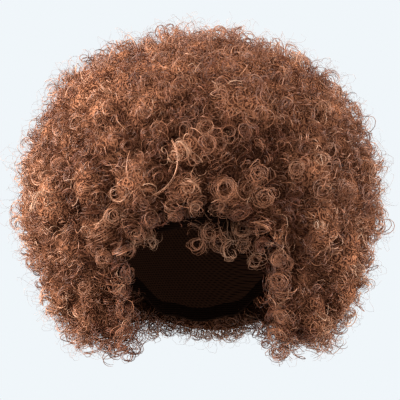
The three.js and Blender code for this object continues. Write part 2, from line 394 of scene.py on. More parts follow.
def dress(piece, finish, slot, *nodes):
    """Gives a finished piece its finish, its body and the solids that it stands for; slot is not used."""
    piece.data.materials.clear()
    piece.data.materials.append(finish)
    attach(piece, "root")
    if nodes:
        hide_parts(*nodes)


# %% [markdown]
# The cap and the band are cloth: thin sheets, which have a flat size. A cloth simulation could drape
# them, but on the form they lie smooth. So these helpers give a sheet its thickness with Solidify,
# outwards, and measure the way over the form from the top down to the cap's edge.

# %% Helpers for cloth
SMOOTH_CLOTH = math.radians(40)
WALK_POINTS = 200


def thicken(piece, thickness):
    """Gives a piece of cloth its thickness, outwards, and smooths it."""
    wall = piece.modifiers.new("wall", "SOLIDIFY")
    wall.thickness = thickness
    wall.offset = 1.0
    bpy.ops.object.modifier_apply(modifier="wall")
    bpy.ops.object.shade_smooth_by_angle(angle=SMOOTH_CLOTH)


def walk_length(points):
    """How far one has walked at each of a line of points."""
    return np.concatenate([[0.0], np.cumsum(np.linalg.norm(np.diff(points, axis=0), axis=1))])


def angle_to_edge(azimuth):
    """How far down from the top the cap's edge is, as an angle."""
    return math.acos(1 + float(edge_height(azimuth)) / HEAD["height"])


def way_down(azimuth):
    """The way over the form from its top down to the cap's edge."""
    return walk_length(head_point(azimuth, np.linspace(0.0, angle_to_edge(azimuth), WALK_POINTS)))[-1]


print("way down to the edge at the front:", round(way_down(0.0), 4))

# %% [markdown]
# ## The cap
#
# A wig cap is a thin stretch net, sewn to the form that it is worn on. It could be cut from an ellipsoid,
# but its edge is not level, so half a sphere is added instead and every ring of it is slid down the form
# until its last ring lies on the edge. Solidify then gives the net its thickness, outwards.

# %% Stretch net cap
CAP_WALL = 1.5 * MM

on_its_own()
bpy.ops.mesh.primitive_uv_sphere_add(segments=72, ring_count=48, radius=1.0)
cap = bpy.context.object
cap.name = "cap_net_cloth"
bpy.ops.object.mode_set(mode="EDIT")
bpy.ops.mesh.select_all(action="SELECT")
bpy.ops.mesh.bisect(plane_co=(0, 0, 0), plane_no=(0, 0, 1), clear_inner=True)
bpy.ops.object.mode_set(mode="OBJECT")
for vertex in cap.data.vertices:
    azimuth = math.atan2(vertex.co.x, -vertex.co.y)
    down = math.acos(min(1.0, vertex.co.z)) / (math.pi / 2)
    vertex.co = head_point(azimuth, down * angle_to_edge(azimuth))
thicken(cap, CAP_WALL)
dress(cap, net_finish, "cap", "cap_net")

# %% [markdown]
# ## The elastic band
#
# The band grips just below the cap's edge. It is a flat strip sewn into a ring, so a plain circle is
# extruded twice into a short sleeve, its rings are laid on the form below the cap's edge, and Solidify
# makes it as thick as elastic.

# %% Edge band
BAND_WALL = 2 * MM
BAND_WIDTH = 13 * MM
SEAM_GAP = 0.1 * MM

on_its_own()
bpy.ops.mesh.primitive_circle_add(vertices=144, radius=1.0, fill_type="NOTHING")
band = bpy.context.object
band.name = "edge_band_elastic"
bpy.ops.object.mode_set(mode="EDIT")
bpy.ops.mesh.select_all(action="SELECT")
for half in range(2):
    bpy.ops.mesh.extrude_region_move(TRANSFORM_OT_translate={"value": (0, 0, -0.5)})
bpy.ops.mesh.select_all(action="SELECT")
bpy.ops.mesh.normals_make_consistent(inside=False)
bpy.ops.object.mode_set(mode="OBJECT")
for vertex in band.data.vertices:
    azimuth = math.atan2(vertex.co.x, -vertex.co.y)
    below = SEAM_GAP + (BAND_WIDTH - SEAM_GAP) * -vertex.co.z
    vertex.co = head_point(azimuth, angle_to_edge(azimuth) + below / HEAD["height"])
thicken(band, BAND_WALL)
dress(band, band_finish, "band", "edge_band")

# %% [markdown]
# ## Clumps
#
# Ringlets gather in clumps about as wide as three fingers, with dark creases between. The clumps start
# where the solid locks stand, in rings round the wig. Real ones keep no such order, so each middle strays
# by chance and some clumps are larger than others. All chance in this lesson comes from one numbered
# generator, so that every run draws the same hair.

# %% Middles of the clumps
CLUMPS = table(
    "height count shift",
    (89.5, 1, 0),
    (82.6, 6, 0.2),
    (66, 12, 0.6),
    (37.7, 17, 0.5),
    (-0.7, 20, 0),
    (-45, 21, 0.5),
    (-89, 21, 0),
    (-131.6, 19, 0),
    (-175, 16, 0),
)
CLUMP_STRAY = 25 * MM
CLUMP_SIZES = 14 * MM
SHARES = np.linspace(0.0, 1.0, 801)
AROUND = np.linspace(0.0, 2 * math.pi, 361)
rng = np.random.default_rng(20)


def share_at(height):
    """Where along the outline a height is, on the way down from the top."""
    return np.interp(-np.asarray(height), -section(SHARES)[:, 3], SHARES)


def clump_middles():
    middles = []
    for ring in CLUMPS:
        share = np.full(AROUND.shape, share_at(ring["height"] * MM))
        walk = walk_length(outline_point(share, AROUND))
        at = (np.arange(ring["count"]) + ring["shift"]) / ring["count"] * walk[-1]
        middles.append(outline_point(share[:ring["count"]], np.interp(at, walk, AROUND)))
    middles = np.concatenate(middles)
    return middles + rng.uniform(-1.0, 1.0, middles.shape) * CLUMP_STRAY


middles = clump_middles()
clump_sizes = rng.uniform(0.0, CLUMP_SIZES, len(middles))
print("clumps:", len(middles))

# %% [markdown]
# A crease runs where two clumps are equally near. The front also has a few deeper, darker hollows that
# one notices at once, so these are given as points on the front with a reach. Both are one number at a
# point: lowest in the middle of a clump, and 1 in a crease or a hollow.

# %% Creases and hollows
HOLLOWS = table(
    "across height reach",
    (58, -78, 15),
    (68, -42, 12),
    (-71, -148, 14),
    (22, -18, 12),
    (31, -38, 9),
    (82, -119, 10),
    (-68, -100, 11),
    (-16, 6, 7),
    (31, 5, 7),
    (-41, -32, 9),
    (-64, -27, 9),
)


def on_front(rows):
    """Places on the front and the way out there, from how far across and how high they are."""
    across, height = column(rows, "across") * MM, column(rows, "height") * MM
    share = share_at(height)
    azimuth = np.arcsin(across / section(share)[:, 0])
    return outline_point(share, azimuth), outline_normal(share, azimuth)


hollows = on_front(HOLLOWS)[0]
hollow_reach = column(HOLLOWS, "reach") * MM


def distances(points, others):
    return np.linalg.norm(points[:, None, :] - others[None, :, :], axis=2)


def in_clumps(points):
    """The nearest clump to each point, and how near a crease or hollow the point is, from 0 to 1."""
    away = distances(points, middles) + CLUMP_SIZES - clump_sizes
    nearest, second = np.partition(away, 1, axis=1)[:, :2].T
    crease = np.clip(2 * nearest / (nearest + second), 0.0, 1.0)
    to_hollows = distances(points, hollows) / hollow_reach
    return np.argmin(away, axis=1), np.maximum(crease, np.exp(-to_hollows ** 2).max(axis=1))


print("mean crease at the middles of clumps:", round(float(in_clumps(middles)[1].mean()), 3))

# %% [markdown]
# Hair in the middle of a clump reaches out a little and hair in a crease stays back, for the base and for
# the ringlets alike, so this is worked out once. Towards the top the hair is combed out: clumps and rings
# are less clear there and it stands a little higher.

# %% How far the hair stands out
CLUMP_RISE = 5 * MM
TOP_RISE = 3 * MM
CREASE_DEPTH = 15 * MM
CREASE_POWER = 3
TOP_SHALLOWER = 0.45
FLUFFY_FROM = -20 * MM
FLUFFY_FULL = 60 * MM


def fluffiness(points):
    """How far the hair is combed out: 0 at the sides, 1 on top."""
    return smoothstep((points[:, 2] - FLUFFY_FROM) / (FLUFFY_FULL - FLUFFY_FROM))


def clump_lift(points):
    """How far the hair stands out of the smooth outline, or stays back from it."""
    crease = CREASE_DEPTH * (1.0 - TOP_SHALLOWER * fluffiness(points))
    return CLUMP_RISE + TOP_RISE * fluffiness(points) - crease * in_clumps(points)[1] ** CREASE_POWER


print("lift at the middles of clumps, mm:", round(float(clump_lift(middles).mean() / MM), 2))

# %% [markdown]
# ## The matted base
#
# Between the ringlets one looks into a dark mass of crossed hair. It needs no strands of its own, only a
# body that stops the eye: the outside of the hair, set in by a ringlet's depth. It could be a remeshed
# sculpt, but a sphere whose points are moved out to the outline keeps an even grid, and the openings are
# then cut away.

# %% Hair mass
BASE_DEPTH = 12 * MM
LOWEST = -180 * MM
AT_A_POLE = 0.9999

on_its_own()
bpy.ops.mesh.primitive_uv_sphere_add(segments=128, ring_count=96, radius=1.0)
mass = bpy.context.object
mass.name = "hair_mass"
ball = np.array([vertex.co for vertex in mass.data.vertices])
share = np.arccos(np.clip(ball[:, 2], -1.0, 1.0)) / math.pi
share = np.clip(share, SHORT_STEP, 1.0 - SHORT_STEP)
azimuth = np.arctan2(ball[:, 0], -ball[:, 1])
shaped = outline_point(share, azimuth)
lift = clump_lift(shaped)
shaped = shaped + outline_normal(share, azimuth) * (lift - BASE_DEPTH)[:, None]
shaped[:, 2] = np.maximum(shaped[:, 2], LOWEST + BASE_DEPTH - lift)
shaped[np.abs(ball[:, 2]) > AT_A_POLE, :2] = 0.0
for vertex, place in zip(mass.data.vertices, shaped):
    vertex.co = place
print("hair mass, faces:", len(mass.data.polygons))

# %% [markdown]
# The hollow that the wig is worn by is the same ellipsoid, a little larger than the cap, run down through
# the bottom of the hair. Towards its bottom it opens out, where ringlets line it. It could be bridged
# from rings of vertices, but a closed form that a boolean takes out of the mass leaves a clean edge.

# %% Hollow inside
RIM_DEPTH = 9 * MM
RIM_OPENS_OVER = 0.3
HAIR_OFF_HEAD = 4 * MM
NECK_FROM = -146 * MM
BELOW_ALL = -260 * MM


def cut(body, tool):
    """Takes one closed form out of another and deletes the tool."""
    on_its_own()
    bpy.context.view_layer.objects.active = body
    body.select_set(True)
    taken = body.modifiers.new("cut", "BOOLEAN")
    taken.operation = "DIFFERENCE"
    taken.solver = "MANIFOLD"
    taken.object = tool
    bpy.ops.object.modifier_apply(modifier="cut")
    bpy.data.objects.remove(tool)


neck_angle = math.acos(1 + NECK_FROM / HEAD["height"])
on_its_own()
bpy.ops.mesh.primitive_uv_sphere_add(segments=64, ring_count=32, radius=1.0)
head_form = bpy.context.object
for vertex in head_form.data.vertices:
    azimuth = math.atan2(vertex.co.x, -vertex.co.y)
    from_top = math.acos(max(-1.0, min(1.0, vertex.co.z)))
    opened = RIM_DEPTH * smoothstep((from_top - math.pi / 2) / RIM_OPENS_OVER)
    place = head_point(azimuth, min(from_top, neck_angle), HAIR_OFF_HEAD + opened)
    if from_top > neck_angle:
        place *= (math.pi - from_top) / (math.pi - neck_angle)
        place[2] = BELOW_ALL - (from_top - neck_angle) * MM
    vertex.co = place
cut(mass, head_form)
print("hair mass with its hollow, faces:", len(mass.data.polygons))

# %% [markdown]
# The hair leaves an arch open at the front. A cylinder squeezed to an ellipse takes out its top, and a
# block, a little narrower at the bottom, what is below. Two plain tools are easier to set than one drawn
# outline.

# %% Face opening
FACE = {"hairline": -64 * MM, "half_width": 58 * MM, "jaw": 54 * MM, "widest_at": -116 * MM}
TOOL_DEPTH = 300 * MM

on_its_own()
bpy.ops.mesh.primitive_cylinder_add(
    vertices=64, radius=1.0, depth=TOOL_DEPTH, location=(0, -TOOL_DEPTH / 2, FACE["widest_at"]),
    rotation=(math.pi / 2, 0, 0),
)
arch_form = bpy.context.object
bpy.ops.object.transform_apply()
for vertex in arch_form.data.vertices:
    rise = FACE["hairline"] - FACE["widest_at"] + RIM_DEPTH
    vertex.co.x *= FACE["half_width"] + RIM_DEPTH
    vertex.co.z = FACE["widest_at"] + (vertex.co.z - FACE["widest_at"]) * rise
cut(mass, arch_form)

on_its_own()
below_arch = (FACE["widest_at"] + BELOW_ALL) / 2
bpy.ops.mesh.primitive_cube_add(size=1.0, location=(0, -TOOL_DEPTH / 2, below_arch))
jaw_form = bpy.context.object
jaw_form.scale = (2 * (FACE["half_width"] + RIM_DEPTH), TOOL_DEPTH, FACE["widest_at"] - BELOW_ALL)
bpy.ops.object.transform_apply()
for vertex in jaw_form.data.vertices:
    if vertex.co.z < FACE["widest_at"] - MM:
        vertex.co.x = math.copysign(FACE["jaw"] + RIM_DEPTH, vertex.co.x)
cut(mass, jaw_form)
print("hair mass with the face open, faces:", len(mass.data.polygons))

# %% [markdown]
# A wig's hair is sewn on in rows. Each row of the base is one level slice of the mass: a copy of it, cut
# and closed above and below with bisect. Every slice also gets the attribute that paints shade into its
# creases, fainter on top.

# %% Rows of base hair
ROWS = table(
    "node top bottom",
    ("crown_curls", 120, 41),
    ("weft_row_1", 41, 11),
    ("weft_row_2", 11, -26),
    ("weft_row_3", -26, -66),
    ("weft_row_4", -66, -106),
    ("weft_row_5", -106, -145),
    ("weft_row_6", -145, -220),
)
HAIR_MIDDLE = np.array([0.0, 0.0, -54 * MM])
SMOOTH_HAIR = math.radians(50)
PAINTED_SHADE_TOP_FAINTER = 0.6


def sliced(body, name, top, bottom):
    """A copy of a body between two heights, closed above and below."""
    on_its_own()
    piece = body.copy()
    piece.data = body.data.copy()
    piece.name = name
    bpy.context.collection.objects.link(piece)
    bpy.context.view_layer.objects.active = piece
    piece.select_set(True)
    bpy.ops.object.mode_set(mode="EDIT")
    for level, upwards in ((top, 1), (bottom, -1)):
        plane = {"plane_co": (0, 0, level), "plane_no": (0, 0, upwards)}
        bpy.ops.mesh.select_all(action="SELECT")
        bpy.ops.mesh.bisect(**plane, use_fill=True, clear_outer=True)
    bpy.ops.object.mode_set(mode="OBJECT")
    bpy.ops.object.shade_smooth_by_angle(angle=SMOOTH_HAIR)
    return piece


def paint_crease_shade(piece):
    corners = np.array([vertex.co for vertex in piece.data.vertices])
    # Painted shade, strongest in a crease and fainter on top.
    near_crease = in_clumps(corners + unit(corners - HAIR_MIDDLE) * BASE_DEPTH)[1] ** 2
    near_crease *= 1.0 - PAINTED_SHADE_TOP_FAINTER * fluffiness(corners)
    marks = piece.data.attributes.new(PAINTED_SHADE_ATTRIBUTE, "FLOAT", "POINT")
    marks.data.foreach_set("value", near_crease.astype(np.float32))


for row in ROWS:
    base = sliced(mass, row["node"] + "_base", row["top"] * MM, row["bottom"] * MM)
    paint_crease_shade(base)
    dress(base, base_finish, "hair", row["node"])
    print(base.name, "faces", len(base.data.polygons))
bpy.data.objects.remove(mass)

# %% [markdown]
# ## Ringlets
#
# The hair is set in small springs. Seen from outside, some ringlets point at the eye and show as rings,
# some lie on the surface as corkscrews, and some have fallen open into loops. A hair system could grow
# them, but these strands have to be closed and solid, so each is a thin tube swept along a helix, and
# whole rows of tubes are written into a mesh from arrays. None may stand in the face opening or in the
# hole at the bottom, so these two are described first.

# %% Where no ringlet stands
NECK_SHARE = 0.8


def arch_half_width(height):
    """Half the width of the face opening at a height, nothing above the hairline."""
    rise = np.clip((height - FACE["widest_at"]) / (FACE["hairline"] - FACE["widest_at"]), 0.0, 1.0)
    low = np.clip((FACE["widest_at"] - height) / (FACE["widest_at"] - BELOW_ALL), 0.0, 1.0)
    straight = FACE["half_width"] + (FACE["jaw"] - FACE["half_width"]) * low
    return np.where(height > FACE["widest_at"], FACE["half_width"] * np.sqrt(1.0 - rise ** 2), straight)


def in_openings(points):
    """True for points in the face opening or in the hole at the bottom."""
    face = (points[:, 1] < 0) & (points[:, 2] < FACE["hairline"])
    face &= np.abs(points[:, 0]) < arch_half_width(points[:, 2])
    across = points[:, 0] / (HEAD["half_width"] + HAIR_OFF_HEAD)
    along = points[:, 1] / (HEAD["half_length"] + HAIR_OFF_HEAD)
    return face | ((points[:, 2] < NECK_FROM) & (across ** 2 + along ** 2 < NECK_SHARE))


print("face opening, half width at its bottom:", round(float(arch_half_width(LOWEST)), 4))

# %% [markdown]
# Ringlets stand on points a step apart all over the outside. An even grid would show as rows, and points
# set by chance alone would leave bare spots, so the points are walked in rings and each is moved a little
# by chance.

# %% Places on the outside of the hair
CURL_STEP = 15.3 * MM
RINGS_CLOSER = 0.88
PLACE_STRAY = 0.3
UNDERSIDE_LEFT_OUT = 0.3


def outside_places(step):
    """Points a step apart all over the outside, with the way out at each. The underside gets fewer."""
    side = walk_length(outline_point(SHARES, np.full(SHARES.shape, math.pi / 2)))
    back = walk_length(outline_point(SHARES, np.full(SHARES.shape, math.pi)))
    way = (side + back) / 2
    stray = PLACE_STRAY
    found = []
    for at in np.arange(step / 2, way[-1], step * RINGS_CLOSER):
        ring = walk_length(outline_point(np.full(AROUND.shape, np.interp(at, way, SHARES)), AROUND))
        count = max(1, round(ring[-1] / step))
        places = (np.arange(count) + rng.uniform()) / count * ring[-1]
        places = places + rng.uniform(-stray, stray, count) * step
        near = at + rng.uniform(-stray, stray, count) * step
        azimuth = np.interp(np.mod(places, ring[-1]), ring, AROUND)
        found.append(np.stack([np.interp(near, way, SHARES), azimuth]))
    share, azimuth = np.concatenate(found, axis=1)
    points, outward = outline_point(share, azimuth), outline_normal(share, azimuth)
    under = points[:, 2] < LOWEST
    points[:, 2] = np.maximum(points[:, 2], LOWEST)
    kept = ~in_openings(points) & ~(under & (rng.random(len(points)) < UNDERSIDE_LEFT_OUT))
    return points[kept], outward[kept]


outside, outward = outside_places(CURL_STEP)
print("ringlets on the outside:", len(outside))

# %% [markdown]
# The rim of the face opening is hair as well. Its ringlets stand on the opening's own wall and point into
# it, so the wall is walked in the same steps, round the arch and from the front of the hair back to the
# hollow.

# %% Places round the face opening
WALL_STRAY = 0.2
OFF_FRONT = 0.4
OFF_HOLLOW = 0.2
ARCH_POINTS = 181
SIDE_POINTS = 40


def head_reach(height):
    """Half the width and length of the hollow at a height."""
    from_top = math.acos(np.clip(1 + max(height, NECK_FROM) / HEAD["height"], -1, 1))
    widest = np.array([HEAD["half_width"] + HAIR_OFF_HEAD, HEAD["half_length"] + HAIR_OFF_HEAD])
    return widest * math.sin(from_top)


def strayed(x, y, z, step):
    return np.array([x, y, z]) + rng.uniform(-WALL_STRAY, WALL_STRAY, 3) * step


def face_rim_places(step):
    """Points on the walls of the face opening, with the way into it at each."""
    turn = np.linspace(-math.pi / 2, math.pi / 2, ARCH_POINTS)
    rise = FACE["hairline"] - FACE["widest_at"]
    top = np.stack([FACE["half_width"] * np.sin(turn), FACE["widest_at"] + rise * np.cos(turn)], axis=1)
    low = np.linspace(LOWEST, FACE["widest_at"], SIDE_POINTS)[:-1]
    side = np.stack([arch_half_width(low), low], axis=1)
    rim = np.concatenate([side * [-1, 1], top, side[::-1]])
    length = walk_length(rim)
    points, inward = [], []
    for at in np.arange(step / 2, length[-1], step):
        x, z = np.interp(at, length, rim[:, 0]), np.interp(at, length, rim[:, 1])
        wide, front = section(share_at(z))[:2]
        hollow_wide, hollow_long = head_reach(z)
        front_y = -front * math.sqrt(max(0.0, 1 - (x / wide) ** 2))
        back_y = -hollow_long * math.sqrt(max(0.0, 1 - (x / hollow_wide) ** 2))
        for y in np.arange(front_y + step * OFF_FRONT, back_y - step * OFF_HOLLOW, step):
            points.append(strayed(x, y, z, step))
            inward.append([-x, 0.0, min(0.0, FACE["widest_at"] - z)])
    return np.array(points), unit(np.array(inward))


rim, rim_inward = face_rim_places(CURL_STEP)
print("ringlets round the face opening:", len(rim))

# %% [markdown]
# The wall under the cap's band is walked in the same way, round the back from ear to ear and down to the
# bottom of the hair.

# %% Places under the cap
EAR_TO_EAR = (62, 298)
OFF_BAND = 0.3


def nape_places(step):
    """Points on the wall under the cap's band, round the back from ear to ear."""
    points, inward = [], []
    for azimuth in np.arange(*np.radians(EAR_TO_EAR), step / HEAD["half_width"]):
        below_band = float(edge_height(azimuth)) - BAND_WIDTH - step * OFF_BAND
        for z in np.arange(below_band, LOWEST + step / 2, -step):
            reach = head_reach(z)
            x, y = reach[0] * math.sin(azimuth), -reach[1] * math.cos(azimuth)
            points.append(strayed(x, y, z, step))
            inward.append([-x, -y, 0.0])
    return np.array(points), unit(np.array(inward))


nape, nape_inward = nape_places(CURL_STEP)
print("ringlets under the cap:", len(nape))

# %% [markdown]
# Each kind of ringlet is a helix with its own tilt, radius and pitch. Tilt 0 points out of the wig and
# shows a ring, tilt 90 lies along it and shows a corkscrew. In a ring the strands nest one inside the
# other, and in a corkscrew they spread along it. A table of ranges is easier to read and to change than
# one formula for all.

# %% Kinds of ringlet
KINDS = [
    {
        "kind": "ring", "part": 0.44, "tilt": (8, 54), "radius": (5.5, 8.8), "turns": (1.15, 1.45),
        "pitch": (2.5, 4.5), "nest": (0.3, 0.5), "spread": (2.0, 4.0),
    },
    {
        "kind": "corkscrew", "part": 0.34, "tilt": (55, 95), "radius": (3.8, 5.8), "turns": (1.2, 1.5),
        "pitch": (6.0, 9.0), "nest": (0.0, 0.15), "spread": (7.0, 11.0),
    },
    {
        "kind": "loop", "part": 0.22, "tilt": (25, 80), "radius": (6.0, 10.0), "turns": (0.9, 1.2),
        "pitch": (5.0, 9.0), "nest": (0.1, 0.3), "spread": (3.0, 5.0),
    },
]
print("kinds of ringlet:", [row["kind"] for row in KINDS])

# %% [markdown]
# Chance then picks a kind for every place and numbers within its ranges. A ringlet that lies down leans
# away from the middle of its clump and hangs a little. Rings at the sides turn towards the front, because
# the hair there is fluffed out. On top there are fewer rings and more frizz.

# %% Ringlets at given places
ROOT_DEPTH = 12 * MM
TOP_FEWER_RINGS = 0.6
TOP_FRIZZ = 1.3
LIES = {"lean": 0.8, "hang": 0.8, "chance": 0.6}
FRONT_TURN = 1.5
SIDE_UNTIL, SIDE_OVER = 0.3, 0.4
TOWARDS_FRONT = np.array([0.0, -1.0, 0.0])
CURL_TONE, CURL_TONES = 0.5, 0.1
TONE_LIMITS = (0.1, 0.9)


def pick(kinds, key):
    low, high = np.array([row[key] for row in KINDS], float)[kinds].T
    return low + (high - low) * rng.random(len(kinds))


def flat_part(vectors, outward):
    """What is left of vectors when the part along the way out is taken off."""
    return vectors - outward * np.sum(vectors * outward, axis=1, keepdims=True)


def ringlets(points, outward, lean, depth=ROOT_DEPTH):
    """Arrays that describe many ringlets with their tops at points on a surface."""
    count = len(points)
    fluffy = fluffiness(points)
    rings = KINDS[0]["part"] * (1.0 - TOP_FEWER_RINGS * fluffy)
    draw = rng.random(count)
    kinds = np.where(draw < rings, 0, np.where(draw < rings + KINDS[1]["part"], 1, 2))
    tilt = np.radians(pick(kinds, "tilt"))
    radius = pick(kinds, "radius") * MM
    turns = pick(kinds, "turns")
    length = pick(kinds, "pitch") * MM * turns
    hang = unit(flat_part(np.tile([0.0, 0.0, -1.0], (count, 1)), outward))
    chance = rng.normal(0, LIES["chance"], (count, 3))
    lying = unit(flat_part(lean * LIES["lean"] + hang * LIES["hang"] + chance, outward))
    inset = radius * np.sin(tilt) + length / 2 * np.abs(np.cos(tilt))
    at_side = 1.0 - np.abs(outward[:, 1])
    at_side = at_side * smoothstep((SIDE_UNTIL - outward[:, 1]) / SIDE_OVER) * (kinds == 0)
    axis = outward * np.cos(tilt)[:, None] + lying * np.sin(tilt)[:, None]
    axis = unit(axis + FRONT_TURN * at_side[:, None] * TOWARDS_FRONT)
    return {
        "place": points, "middle": points - outward * inset[:, None], "root": -outward * depth,
        "axis": axis, "radius": radius, "turns": turns, "length": length,
        "nest": pick(kinds, "nest"), "spread": pick(kinds, "spread") * MM,
        "hand": rng.choice([-1.0, 1.0], count), "phase": rng.uniform(0, 2 * math.pi, count),
        "tone": np.clip(rng.normal(CURL_TONE, CURL_TONES, count), *TONE_LIMITS),
        "frizz": 1.0 + TOP_FRIZZ * fluffy,
    }


print("share of rings on top:", round(KINDS[0]["part"] * (1.0 - TOP_FEWER_RINGS), 3))

# %% [markdown]
# A few rings on the front are so large and clear that one knows the wig by them. They are listed one by
# one, with their radius and with how far their strands nest, and the hair around them stays back a little
# to make room.

# %% Places of the clear rings
CLEAR_RINGS = table(
    "across height radius nest",
    (20, -46, 9.2, 0.2),
    (46, -35, 9.8, 0.85),
    (77, -29, 7.4, 0.35),
    (50, -54, 10.4, 0.75),
    (68, -106, 7.2, 0.4),
    (120, -46, 7.1, 0.4),
    (-69, -68, 7.0, 0.25),
    (-78, -102, 6.4, 0.5),
    (-95, -127, 7.0, 0.6),
)
ROOM_DEPTH = 7 * MM
ROOM_REACH = 10 * MM

clear, clear_outward = on_front(CLEAR_RINGS)
to_clear = np.min(distances(outside, clear), axis=1)
lift = clump_lift(outside) - ROOM_DEPTH * np.exp(-(to_clear / ROOM_REACH) ** 2)
print("clear rings:", len(clear))

# %% [markdown]
# Now the ringlets of the outside, the rim and the nape. Each has a tone, which picks its brown from the
# ramp. Tones differ from clump to clump, and hair in a crease, beside the face opening, on top, on the
# front and inside the openings is darker. Real hair has many more strands, which shade each other there,
# and the tone stands in for that shade.

# %% Ringlets of the outside and the openings
TONES = {"all": 0.09, "clumps": 0.06, "crease": 0.48, "face": 0.36, "top": 0.13, "front": 0.13}
FACE_SHADE_REACH = 28 * MM
FRONT_FROM, FRONT_OVER = 0.55, 0.4
RIM_RISE, RIM_DARKER = 3 * MM, 0.3
NAPE_RISE, NAPE_DARKER = 2 * MM, 0.2


def beside_face(points):
    """1 at the edge of the face opening, where the hair lies in shade, and less away from it."""
    off = np.abs(points[:, 0]) - arch_half_width(points[:, 2])
    front = (points[:, 1] < 0) & (points[:, 2] < FACE["hairline"])
    return np.where(front, np.exp(-(off / FACE_SHADE_REACH) ** 2), 0.0)


clump, near_crease = in_clumps(outside)
outer_curls = ringlets(outside + outward * lift[:, None], outward, unit(outside - middles[clump]))
clump_tones = rng.normal(0.0, TONES["clumps"], len(middles))
outer_curls["tone"] += TONES["all"] + clump_tones[clump] - TONES["crease"] * near_crease ** 2
outer_curls["tone"] -= TONES["face"] * beside_face(outside) + TONES["top"] * fluffiness(outside)
on_the_front = smoothstep((-outward[:, 1] - FRONT_FROM) / FRONT_OVER)
outer_curls["tone"] -= TONES["front"] * on_the_front * (1.0 - fluffiness(outside))
rim_curls = ringlets(rim + rim_inward * RIM_RISE, rim_inward, np.zeros_like(rim), ROOT_DEPTH / 2)
nape_curls = ringlets(nape + nape_inward * NAPE_RISE, nape_inward, np.zeros_like(nape), ROOT_DEPTH / 2)
rim_curls["tone"] -= RIM_DARKER
nape_curls["tone"] -= NAPE_DARKER
print("ringlets:", len(outer_curls["radius"]), len(rim_curls["radius"]), len(nape_curls["radius"]))

# %% [markdown]
# The clear rings start as ordinary ringlets. Their radius and nest are then set from their table, and
# they face between the way out and the front. They are frizzier than the hair around them, so that they
# don't look like wire.

# %% Clear rings
RING_SINK = 4 * MM
RING_LENGTH = 5 * MM
RING_SPREAD = 4 * MM
RING_TURN = 0.8
RING_FRIZZ = 1.4
RING_TURNS = (1.2, 1.8)
RING_TONES = (0.3, 0.5)

clear_curls = ringlets(clear, clear_outward, np.zeros_like(clear))
clear_curls.update({
    "middle": clear - clear_outward * RING_SINK,
    "axis": unit(clear_outward + RING_TURN * TOWARDS_FRONT),
    "radius": column(CLEAR_RINGS, "radius") * MM,
    "turns": rng.uniform(*RING_TURNS, len(clear)),
    "length": np.full(len(clear), RING_LENGTH),
    "nest": column(CLEAR_RINGS, "nest"),
    "spread": np.full(len(clear), RING_SPREAD),
    "tone": rng.uniform(*RING_TONES, len(clear)),
    "frizz": np.full(len(clear), RING_FRIZZ),
})
print("clear rings, mean radius in mm:", round(float(clear_curls["radius"].mean() / MM), 2))

# %% [markdown]
# At the outline single loops stand out dark against the light. Chance seldom leaves one alone, so they
# too are listed one by one, in the plane of the outline. Those at the bottom are tipped, because they
# hang over the edge.

# %% Loops at the outline
EDGE_LOOPS = table(
    "across height radius tip",
    (-97, 68, 6.6, 0),
    (-26, 93, 4.6, 0),
    (-33, 91, 4.0, 20),
    (31, 92, 4.8, 0),
    (127, 32, 5.9, 0),
    (139, 6, 5.6, 0),
    (157, -76, 7.4, 0),
    (118, -174, 6.3, 40),
    (-112, -172, 8.0, 62),
    (-93, -181, 8.0, 62),
    (-76, -187, 6.5, 45),
    (84, -186, 6.0, 50),
)
EDGE_LOOP = {"turns": 1.3, "nest": 0.25, "spread": 2 * MM, "tone": 0.12}
LOOP_STRAY = 0.12

loops = np.array([[row["across"], 0.0, row["height"]] for row in EDGE_LOOPS]) * MM
loops_outward = unit(loops - HAIR_MIDDLE)
tips = np.radians(column(EDGE_LOOPS, "tip"))
loop_axes = np.stack([np.zeros_like(tips), -np.cos(tips), -np.sin(tips)], axis=1)
loop_curls = ringlets(loops, loops_outward, np.zeros_like(loops))
loop_curls.update({key: np.full(len(loops), value) for key, value in EDGE_LOOP.items()})
loop_curls.update({
    "middle": loops, "axis": unit(loop_axes + rng.normal(0, LOOP_STRAY, loops.shape)),
    "radius": column(EDGE_LOOPS, "radius") * MM,
})
print("loops at the outline:", len(loops))

# %% [markdown]
# Under the ringlets lies a mat of loose hair that closes the view to the base, and a few single hairs
# stand off the outside as a fine halo. Both are short arcs of any direction, in a layer of their own.

# %% Mat and stray hairs
LOOSE = {
    "mat": {"step": 13.6, "layer": (-9.0, -3.0), "radius": (4, 8), "turns": (0.7, 1.0), "tone": 0.56},
    "stray": {"step": 10.0, "layer": (-3.0, 5.0), "radius": (4, 9), "turns": (0.5, 0.9), "tone": 0.5},
}
LOOSE_LENGTH = (2, 8)
LOOSE_CREASE_SHADE = 0.3
LOOSE_TONES = 0.12
LOOSE_TONE_LIMITS = (0.05, 0.9)


def loose_hairs(kind):
    points, outward = outside_places(kind["step"] * MM)
    count = len(points)
    depth = rng.uniform(*kind["layer"], count) * MM + clump_lift(points)
    # Loose hair in a crease is darkened: painted shade.
    crease = LOOSE_CREASE_SHADE * in_clumps(points)[1] ** 2
    return {
        "place": points, "middle": points + outward * depth[:, None], "root": -outward * ROOT_DEPTH / 2,
        "axis": unit(rng.normal(0, 1, (count, 3))), "radius": rng.uniform(*kind["radius"], count) * MM,
        "turns": rng.uniform(*kind["turns"], count), "length": rng.uniform(*LOOSE_LENGTH, count) * MM,
        "nest": np.zeros(count), "spread": np.zeros(count), "frizz": np.ones(count),
        "hand": rng.choice([-1.0, 1.0], count), "phase": rng.uniform(0, 2 * math.pi, count),
        "tone": np.clip(rng.normal(kind["tone"], LOOSE_TONES, count) - crease, *LOOSE_TONE_LIMITS),
    }


mat = loose_hairs(LOOSE["mat"])
stray = loose_hairs(LOOSE["stray"])
print("mat strands", len(mat["radius"]), "stray hairs", len(stray["radius"]))

